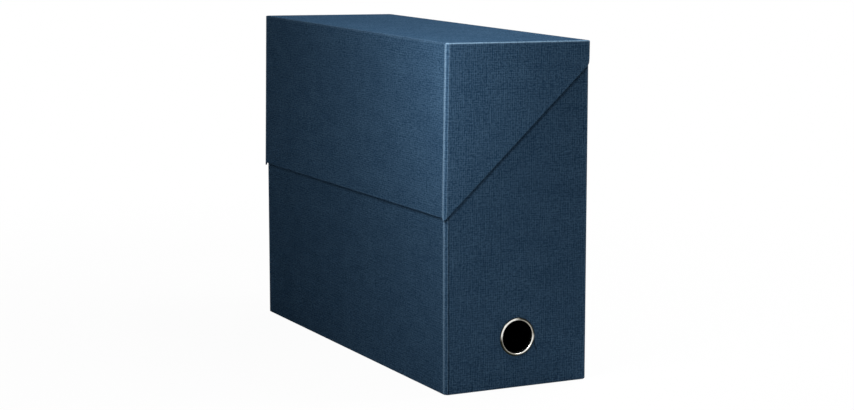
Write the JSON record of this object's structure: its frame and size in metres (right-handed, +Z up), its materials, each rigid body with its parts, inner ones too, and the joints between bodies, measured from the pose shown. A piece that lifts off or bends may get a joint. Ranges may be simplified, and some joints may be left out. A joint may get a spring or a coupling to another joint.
{
  "type": "archive box",
  "caption": "Tall covered-board box for papers, with a hinged lid whose flap and slanted cheeks come down over the body, and a metal-rimmed finger hole.",
  "frame": {"origin": "centre of the box's outline seen from above, on the surface it stands on", "axes": "+Z up, +Y away from the spine with the finger hole, +X towards the hinge side; the lid's flap faces -X"},
  "size_m": [0.12, 0.34, 0.255],
  "materials": {
    "greyboard": "grey-brown solid board, matt",
    "stay_tape": "gummed brown paper, matt",
    "linen_paper": "dark blue paper embossed like linen, satin-matt",
    "bottom_paper": "dark blue plain paper, matt",
    "lining_paper": "dark blue-grey lining paper, matt",
    "hinge_cloth": "dark blue book cloth",
    "nickel": "bright nickel plate"
  },
  "bodies": {
    "body": {"bottom_board": "greyboard", "front_board": "greyboard", "back_board": "greyboard", "spine_board": "greyboard", "far_end_board": "greyboard", "corner_tape_front_spine": "stay_tape", "corner_tape_front_far": "stay_tape", "corner_tape_back_spine": "stay_tape", "corner_tape_back_far": "stay_tape", "body_cover": "linen_paper", "bottom_sheet": "bottom_paper", "body_lining": "lining_paper", "floor_lining": "lining_paper", "eyelet": "nickel", "eyelet_washer": "nickel", "hinge_cloth_body_half": "hinge_cloth", "inner_hinge_body_half": "hinge_cloth"},
    "lid": {"lid_top_board": "greyboard", "lid_flap_board": "greyboard", "lid_back_strip": "greyboard", "lid_spine_cheek": "greyboard", "lid_far_cheek": "greyboard", "lid_corner_tape_spine": "stay_tape", "lid_corner_tape_far": "stay_tape", "lid_cover": "linen_paper", "lid_lining": "lining_paper", "hinge_cloth_lid_half": "hinge_cloth", "inner_hinge_lid_half": "hinge_cloth"}
  },
  "joints": [
    {"name": "lid_hinge", "type": "hinge", "parent": "body", "child": "lid", "pos_m": [0.05977, 0, 0.23808], "axis": [0, 1, 0], "range_deg": [0, 174]}
  ]
}
